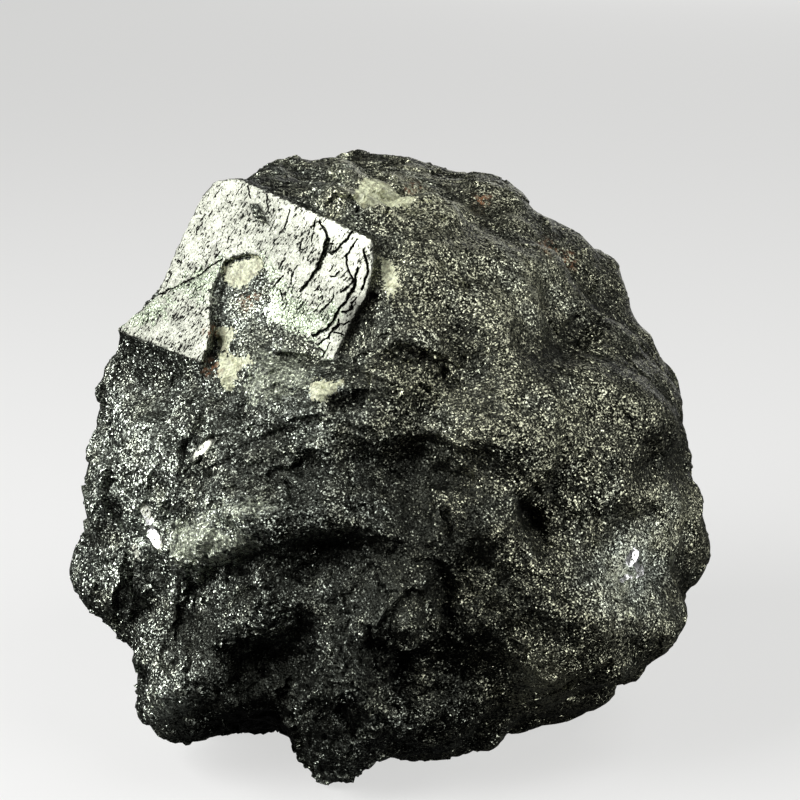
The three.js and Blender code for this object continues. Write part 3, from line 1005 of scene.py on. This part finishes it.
def colour_surface(lump, surfaces):
    """Says on each vertex what the finish needs: its patches, painted light and shade, sweep and hollows.
    """
    mesh = lump.data
    points = read(mesh, "co")
    ways = read(mesh, "normal")
    u, v, w = leaning(points).T
    front = w > 0
    wobble = noise(points, *EDGE_WANDER)
    near = np.min([face_gap(points, surfaces[name]) for name in PLANED_FACES], axis=0)
    crystal = 1 - step(near + CRYSTAL_RAGGED * wobble, *CRYSTAL_EDGE)
    for flat in FLATS:
        crystal = np.maximum(crystal, in_flat(u, v, flat) * front)
    paint(mesh, "crystal", crystal)
    close = near < CRACK_REACH
    cracks = crack_gap(u, v, noise(points, *CRACK_WANDER, close))[0]
    paint(mesh, "crack", np.where(close, np.minimum(cracks, CRACK_SHARES), CRACK_SHARES))
    for name, outlines in (("broken", [PIT]), ("worn", WORN), ("calcite", CALCITE), ("film", FILM)):
        paint(mesh, name, outlined(u, v, outlines, front))
    paint(mesh, "rust", rust_spots(u, v, wobble) * front)
    # painted light and shade: brighter and darker spots where more or less light falls
    painted_light_and_shade = np.zeros(len(points))
    for at_u, at_v, radius, amount in PAINTED_LIGHT_AND_SHADE:
        painted_light_and_shade += amount * spread(u, v, at_u, at_v, radius) * front
    paint(mesh, "painted_light_and_shade", painted_light_and_shade)
    olive = u + OLIVE_LEAN * v + OLIVE_SHIFT * noise(points, *OLIVE_WANDER)
    paint(mesh, "olive", step(olive, *OLIVE_SPAN) - spread(u, v, *SILVER) * front)
    layer = mesh.attributes.new("sweep", "FLOAT_VECTOR", "POINT")
    sweep = swept(points) * MM / np.array(WRINKLE_STRETCH)
    layer.data.foreach_set("vector", sweep.astype(np.float32).ravel())
    # how far each place lies under the smoothed surface, for painted shade in hollows and painted light on
    # crests
    paint(mesh, "hollow", relief_of(mesh, points, ways, HOLLOW_ROUNDS))
    paint(mesh, "cavity", relief_of(mesh, points, ways, CAVITY_ROUNDS))


def lay_out(mesh):
    """Gives the mesh a UV map of six islands, one for each way that its faces look."""
    layer = mesh.uv_layers.new(name=UV_MAP)
    ways = np.empty(3 * len(mesh.polygons), np.float32)
    mesh.polygons.foreach_get("normal", ways)
    ways = ways.reshape(-1, 3)
    main = np.abs(ways).argmax(1)
    side = 2 * main + (ways[np.arange(len(ways)), main] > 0)
    counts = np.empty(len(mesh.polygons), np.int32)
    mesh.polygons.foreach_get("loop_total", counts)
    corners = np.empty(len(mesh.loops), np.int32)
    mesh.loops.foreach_get("vertex_index", corners)
    points = read(mesh, "co")
    low, span = points.min(0), np.ptp(points, 0).max()
    places = ((points - low) / span)[corners]
    side = np.repeat(side, counts)
    across = np.where(side < 2, places[:, 1], places[:, 0])
    up = np.where(side < 4, places[:, 2], places[:, 1])
    column, row = side % UV_COLUMNS, side // UV_COLUMNS
    uv = np.stack([
        (column + UV_MARGIN + (1 - 2 * UV_MARGIN) * across) / UV_COLUMNS,
        (row + UV_MARGIN + (1 - 2 * UV_MARGIN) * up) / UV_ROWS,
    ], 1)
    layer.uv.foreach_set("vector", uv.astype(np.float32).ravel())


# ---- Finish -------------------------------------------------------------------------------------


class Nodes:
    """Adds nodes to a material's tree, with their inputs set or linked by name."""

    def __init__(self, material):
        material.use_nodes = True
        self.tree = material.node_tree
        self.tree.nodes.clear()

    def add(self, kind, inputs=None, **settings):
        node = self.tree.nodes.new("ShaderNode" + kind)
        for name, value in settings.items():
            setattr(node, name, value)
        for name, value in (inputs or {}).items():
            if isinstance(value, bpy.types.NodeSocket):
                self.tree.links.new(value, node.inputs[name])
            else:
                node.inputs[name].default_value = value
        return node

    def maths(self, operation, a, b=0.5, clamp=False):
        return self.add("Math", {0: a, 1: b}, operation=operation, use_clamp=clamp).outputs[0]

    def vector(self, operation, a, b=(0, 0, 0)):
        return self.add("VectorMath", {0: a, 1: b}, operation=operation).outputs[0]

    def scaled(self, vector, scale):
        node = self.add("VectorMath", {0: vector, "Scale": scale}, operation="SCALE")
        return node.outputs[0]

    def ramp(self, value, low, high, start=0.0, end=1.0):
        """A value brought from one range to another, and kept inside it."""
        node = self.add("MapRange", {
            "Value": value, "From Min": low, "From Max": high, "To Min": start, "To Max": end,
        })
        return node.outputs[0]

    def swing(self, value, amount):
        """A noise as a value that goes from half this amount below 0 to half above it."""
        return self.ramp(value, 0.0, 1.0, -0.5 * amount, 0.5 * amount)

    def total(self, first, *rest):
        """The sum of some values."""
        for value in rest:
            first = self.maths("ADD", first, value)
        return first

    def patch(self, name, ragged):
        """An attribute, with its edges broken up by a noise as much as RAGGED says."""
        return self.total(self.attribute(name), self.maths("MULTIPLY", ragged, RAGGED[name]))

    def mix(self, share, a, b):
        """One colour where the share is 0, and the other where it is 1."""
        node = self.add("Mix", {0: share, 6: a, 7: b}, data_type="RGBA")
        return node.outputs[2]

    def between(self, share, a, b):
        """The same for two values."""
        return self.add("Mix", {0: share, 2: a, 3: b}, data_type="FLOAT").outputs[0]

    def turn(self, share, a, b):
        """The same for two directions."""
        return self.add("Mix", {0: share, 4: a, 5: b}, data_type="VECTOR").outputs[1]

    def attribute(self, name):
        return self.add("Attribute", attribute_name=name).outputs["Fac"]

    def noise(self, place, size, detail, roughness=0.5):
        return self.add("TexNoise", {
            "Vector": place, "Scale": 1 / size, "Detail": detail, "Roughness": roughness,
        })

    def cells(self, place, size):
        return self.add("TexVoronoi", {"Vector": place, "Scale": 1 / size})

    def bump(self, height, strength, distance, normal):
        return self.add("Bump", {
            "Strength": strength, "Distance": distance, "Height": height, "Normal": normal,
        }).outputs["Normal"]


def rgba(colour):
    """A colour with nothing let through, as the nodes want it."""
    return (*colour, 1.0)


def granular(nodes, settings, colours, place, normal):
    """Colour, roughness and normal of the massive arsenide: fine grains and wrinkles that glitter, partly
    through their tilted facets and partly through painted glints in the colour.
    """
    grain = settings.grain
    sweep = nodes.add("Attribute", attribute_name="sweep").outputs["Vector"]
    drift = nodes.noise(place, *DRIFT).outputs["Color"]
    drift = nodes.scaled(nodes.vector("SUBTRACT", drift, (0.5, 0.5, 0.5)), DRIFT_SHIFT)
    curled = nodes.vector("ADD", sweep, drift)
    loose = nodes.vector("ADD", place, nodes.scaled(drift, GRAIN_DRIFT))
    grains = nodes.cells(loose, grain)
    wrinkles = nodes.noise(curled, WRINKLE_SIZE * grain, 2.0, 0.65).outputs["Fac"]
    fine = nodes.noise(loose, FINE_SIZE * grain, 1.0).outputs["Fac"]
    mottle = nodes.noise(place, *MOTTLE).outputs["Fac"]
    streaky = nodes.ramp(mottle, *STREAK_RAMP)
    luck = nodes.add("SeparateColor", {"Color": grains.outputs["Color"]}).outputs["Red"]

    # partly the grains' own grey and partly painted glints: bright specks and lit wrinkle crests painted
    # into the colour
    wrinkled = nodes.maths("MULTIPLY", nodes.swing(wrinkles, 1.0), streaky)
    power = nodes.total(
        nodes.maths("MULTIPLY", wrinkled, WRINKLE_POWER),
        nodes.swing(fine, FINE_POWER),
        nodes.swing(luck, LUCK_POWER),
        nodes.ramp(mottle, *MOTTLE_RAMP),
        # the painted light and shade
        nodes.attribute("painted_light_and_shade"),
        # painted shade in the hollows and painted light on the crests
        nodes.ramp(nodes.attribute("hollow"), *HOLLOW_SHADE_RAMP),
        nodes.ramp(nodes.attribute("cavity"), *CAVITY_SHADE_RAMP),
    )
    shine = nodes.maths("MULTIPLY", nodes.maths("EXPONENT", power), SHINE, clamp=True)

    olive = nodes.total(nodes.attribute("olive"), nodes.ramp(mottle, *OLIVE_RAMP))
    tint = nodes.mix(olive, rgba(SILVER_TINT), rgba(OLIVE_TINT))
    bright = nodes.add(
        "Mix", {0: 1.0, 6: rgba(colours.grains), 7: tint}, data_type="RGBA", blend_type="MULTIPLY",
    ).outputs[2]
    colour = nodes.mix(shine, rgba(colours.matrix), bright)
    rough = nodes.ramp(luck, *GRAIN_ROUGH)

    tilt = nodes.vector("SUBTRACT", grains.outputs["Color"], (0.5, 0.5, 0.5))
    facet = nodes.vector("ADD", normal, nodes.scaled(tilt, GRAIN_TILT))
    height = nodes.total(
        nodes.maths("MULTIPLY", wrinkles, streaky), nodes.maths("MULTIPLY", fine, FINE_SHARE),
    )
    lean = nodes.bump(height, 1.0, RELIEF, nodes.vector("NORMALIZE", facet))
    return colour, rough, lean


def faced(nodes, colours, place, normal):
    """Colour, roughness and normal of the crystals' faces: pocked, cracked and worn in places, with
    painted shade in the pocks and cracks.
    """
    streak = nodes.add("Mapping", {
        "Vector": place, "Rotation": (0.0, POCK_TURN, 0.0), "Scale": POCK_STRETCH,
    }, vector_type="TEXTURE").outputs["Vector"]
    fine = nodes.noise(place, *FACE_FINE).outputs["Fac"]
    crowd = nodes.noise(place, *FACE_CROWD).outputs["Fac"]
    fleck = nodes.noise(place, *FACE_FLECK).outputs["Fac"]
    worn = nodes.total(nodes.attribute("worn"), nodes.swing(fleck, WORN_RAGGED))
    worn = nodes.ramp(worn, *WORN_EDGE)
    pocks = nodes.noise(streak, *FACE_POCKS).outputs["Fac"]
    pocks = nodes.ramp(nodes.total(pocks, nodes.ramp(crowd, *POCK_CROWD)), *POCK_EDGE)
    crack = nodes.total(nodes.attribute("crack"), nodes.swing(fine, CRACK_RAGGED))
    dark = nodes.maths("MAXIMUM", pocks, nodes.ramp(crack, *CRACK_EDGE))

    power = nodes.total(
        nodes.maths("MULTIPLY", nodes.swing(fine, 1.0), nodes.ramp(worn, *FACE_POWERS)),
        nodes.ramp(crowd, *CROWD_RAMP),
        nodes.ramp(fleck, *FLECK_RAMP),
        # painted light and shade on the crystals' faces, standing in for how brightly they reflect the
        # light
        nodes.attribute("painted_light_and_shade"),
    )
    power = nodes.maths("SUBTRACT", power, nodes.maths("MULTIPLY", worn, WORN_SHADE))
    level = nodes.maths("EXPONENT", power)
    # painted shade in the pocks and cracks
    level = nodes.maths("MULTIPLY", level, nodes.ramp(dark, 0.0, 1.0, 1.0, PAINTED_SHADE_LEFT))
    tint = nodes.mix(worn, rgba(colours.crystal), rgba(WORN_TINT))
    colour = nodes.scaled(tint, level)
    rough = nodes.ramp(worn, *FACE_ROUGH)
    wave = nodes.noise(streak, *FACE_WAVE).outputs["Fac"]
    lean = nodes.bump(nodes.maths("SUBTRACT", wave, dark), FACE_BUMP, FACE_RELIEF, normal)
    return colour, rough, lean


def calcite(nodes, colours, fleck, crumbs):
    """Colour of the calcite: cream, with stains where the flecks lie."""
    stain = nodes.maths("MULTIPLY", nodes.ramp(fleck, *STAIN_RAMP), STAIN_SHARE)
    pale = nodes.mix(stain, rgba(colours.calcite), rgba(STAIN))
    return nodes.scaled(pale, nodes.ramp(crumbs, *CREAM_SHADE))


def filmed(nodes, crumbs):
    """Colour of the pale film: a greenish grey, broken into bright and dark crumbs."""
    # a share of the painted light and shade
    painted_light_and_shade = nodes.maths("MULTIPLY", nodes.attribute("painted_light_and_shade"), FILM_LIGHT_AND_SHADE)
    power = nodes.total(nodes.swing(crumbs, FILM_POWER), painted_light_and_shade)
    return nodes.scaled(FILM_COLOUR, nodes.maths("EXPONENT", power))


def arsenide(settings, colours):
    """Finish of the lump: glittering grains, bright crystal faces, cream calcite and a little rust."""
    material = bpy.data.materials.new("skutterudite")
    nodes = Nodes(material)
    place = nodes.add("TexCoord").outputs["Object"]
    normal = nodes.add("NewGeometry").outputs["Normal"]
    mass, mass_rough, mass_lean = granular(nodes, settings, colours, place, normal)
    face, face_rough, face_lean = faced(nodes, colours, place, normal)

    fleck = nodes.noise(place, *FLECK).outputs["Fac"]
    crumbs = nodes.noise(place, *CRUMBS).outputs["Fac"]
    ragged = nodes.swing(fleck, 1.0)
    crystal = nodes.ramp(nodes.patch("crystal", ragged), *CRYSTAL_RAMP)
    whole = nodes.ramp(nodes.patch("broken", ragged), *BROKEN_RAMP)
    crystal = nodes.maths("MULTIPLY", crystal, whole)
    cream = nodes.total(nodes.patch("calcite", ragged), nodes.ramp(crumbs, *CREAM_CRUMBS))
    cream = nodes.ramp(cream, *CREAM_RAMP)
    brown = nodes.maths("MULTIPLY", nodes.attribute("rust"), nodes.ramp(fleck, *RUST_RAMP))
    film = nodes.ramp(nodes.patch("film", ragged), *FILM_RAMP)

    colour = nodes.mix(film, mass, filmed(nodes, crumbs))
    colour = nodes.mix(crystal, colour, face)
    colour = nodes.mix(cream, colour, calcite(nodes, colours, fleck, crumbs))
    colour = nodes.mix(brown, colour, rgba(colours.rust))
    metal = nodes.between(film, 1.0, FILM_METAL)
    metal = nodes.between(cream, metal, 0.0)
    metal = nodes.between(brown, metal, 0.0)
    rough = nodes.between(crystal, mass_rough, face_rough)
    rough = nodes.between(cream, rough, CREAM_ROUGH)
    rough = nodes.between(brown, rough, RUST_ROUGH)
    lean = nodes.turn(crystal, mass_lean, face_lean)
    lean = nodes.turn(cream, lean, face_lean)

    surface = nodes.add("BsdfPrincipled", {
        "Base Color": colour, "Metallic": metal, "Roughness": rough, "Normal": lean,
    })
    nodes.add("OutputMaterial", {"Surface": surface.outputs[0]})
    return material


def floor_finish(colours):
    """Finish of the floor: pale and even, with a glow that keeps it so."""
    material = bpy.data.materials.new("pale_floor")
    nodes = Nodes(material)
    surface = nodes.add("BsdfPrincipled", {
        "Base Color": rgba(FLOOR_SHADE), "Roughness": FLOOR_ROUGH,
        "Emission Color": rgba(colours.floor), "Emission Strength": FLOOR_GLOW,
    })
    nodes.add("OutputMaterial", {"Surface": surface.outputs[0]})
    return material


# ---- Operators ----------------------------------------------------------------------------------


class SPECIMEN_OT_lump(bpy.types.Operator):
    """Build the lump of skutterudite over its CAD solid"""

    bl_idname = "specimen.lump"
    bl_label = "Lump"

    def execute(self, context):
        settings = context.scene.specimen_shape
        colours = context.scene.specimen_colours
        surfaces = crystal_surfaces()
        lump = copied_solid("skutterudite")
        remesh(lump, settings.detail)
        weigh(lump, MASSIVE, massive_share(read(lump.data, "co"), surfaces))
        apply(lump, "SMOOTH", factor=MELT_FACTOR, iterations=settings.melt, vertex_group=MASSIVE)
        calm = step(leaning(read(lump.data, "co"))[:, 0], *CALM_MELT)
        weigh(lump, CALM, calm * massive_share(read(lump.data, "co"), surfaces))
        apply(lump, "SMOOTH", factor=MELT_FACTOR, iterations=2 * settings.melt, vertex_group=CALM)
        carve_front(lump)
        remesh(lump, settings.detail)
        roughen(lump, massive_share(read(lump.data, "co"), surfaces))
        flatten_faces(lump, surfaces)
        cleave(lump)
        thin(lump, settings.faces, surfaces)
        lump.vertex_groups.clear()
        crack_faces(lump, surfaces)
        settle(lump)
        bpy.ops.object.shade_smooth_by_angle(angle=CREASE)
        colour_surface(lump, surfaces)
        lay_out(lump.data)
        lump.data.materials.clear()
        lump.data.materials.append(arsenide(settings, colours))
        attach(lump, "root")
        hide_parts(NODE)
        return {"FINISHED"}


def softbox(name, way, distance, size, power):
    """A square light that faces the lump from this direction."""
    light = bpy.data.lights.new(name, "AREA")
    light.size = size
    light.energy = power
    box = bpy.data.objects.new(name, light)
    bpy.context.collection.objects.link(box)
    way = Vector(way).normalized()
    box.location = LIGHT_AIM + way * distance
    box.rotation_euler = way.to_track_quat("Z", "Y").to_euler()
    box.visible_camera = False


class SPECIMEN_OT_stage(bpy.types.Operator):
    """Set the pale floor, the soft lights and the camera around the lump"""

    bl_idname = "specimen.stage"
    bl_label = "Stage"

    def execute(self, context):
        scene = context.scene
        bpy.ops.object.select_all(action="DESELECT")
        bpy.ops.mesh.primitive_plane_add(size=FLOOR_SIZE)
        floor = context.object
        floor.name = "floor"
        floor.data.materials.append(floor_finish(scene.specimen_colours))
        floor.visible_diffuse = False
        floor.visible_glossy = False
        for light in SOFTBOXES:
            softbox(*light)

        world = bpy.data.worlds.new("studio")
        scene.world = world
        nodes = Nodes(world)
        seen = nodes.add("LightPath").outputs["Is Camera Ray"]
        strength = nodes.between(seen, ROOM_LIGHT, ROOM_SEEN)
        room = nodes.add("Background", {"Color": (1, 1, 1, 1), "Strength": strength})
        nodes.add("OutputWorld", {"Surface": room.outputs[0]})

        camera = bpy.data.cameras.new("camera")
        camera.lens = LENS
        camera.sensor_width = SENSOR
        camera.clip_start, camera.clip_end = CAMERA_CLIP
        eye = bpy.data.objects.new("camera", camera)
        bpy.context.collection.objects.link(eye)
        back = Vector((0, -math.cos(ELEVATION), math.sin(ELEVATION)))
        eye.location = CAMERA_AIM + back * CAMERA_DISTANCE
        eye.rotation_euler = back.to_track_quat("Z", "Y").to_euler()
        scene.camera = eye
        scene.view_settings.view_transform = "Standard"
        return {"FINISHED"}


class SPECIMEN_PT_sidebar(bpy.types.Panel):
    """Lists the lump's sizes and colours and the operators that build it"""

    bl_label = "Skutterudite Specimen"
    bl_space_type = "VIEW_3D"
    bl_region_type = "UI"
    bl_category = "Specimen"

    def draw(self, context):
        column = self.layout.column()
        for group in (context.scene.specimen_shape, context.scene.specimen_colours):
            for name in group.__annotations__:
                column.prop(group, name)
        for operator in OPERATORS:
            column.operator(operator.bl_idname)


OPERATORS = (SPECIMEN_OT_lump, SPECIMEN_OT_stage)
CLASSES = (SpecimenShape, SpecimenColours, *OPERATORS, SPECIMEN_PT_sidebar)


def register():
    for kind in CLASSES:
        bpy.utils.register_class(kind)
    bpy.types.Scene.specimen_shape = PointerProperty(type=SpecimenShape)
    bpy.types.Scene.specimen_colours = PointerProperty(type=SpecimenColours)


def unregister():
    del bpy.types.Scene.specimen_colours
    del bpy.types.Scene.specimen_shape
    for kind in reversed(CLASSES):
        bpy.utils.unregister_class(kind)


def main():
    register()
    bpy.ops.specimen.lump()
    bpy.ops.specimen.stage()
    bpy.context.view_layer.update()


if __name__ == "__main__":
    main()
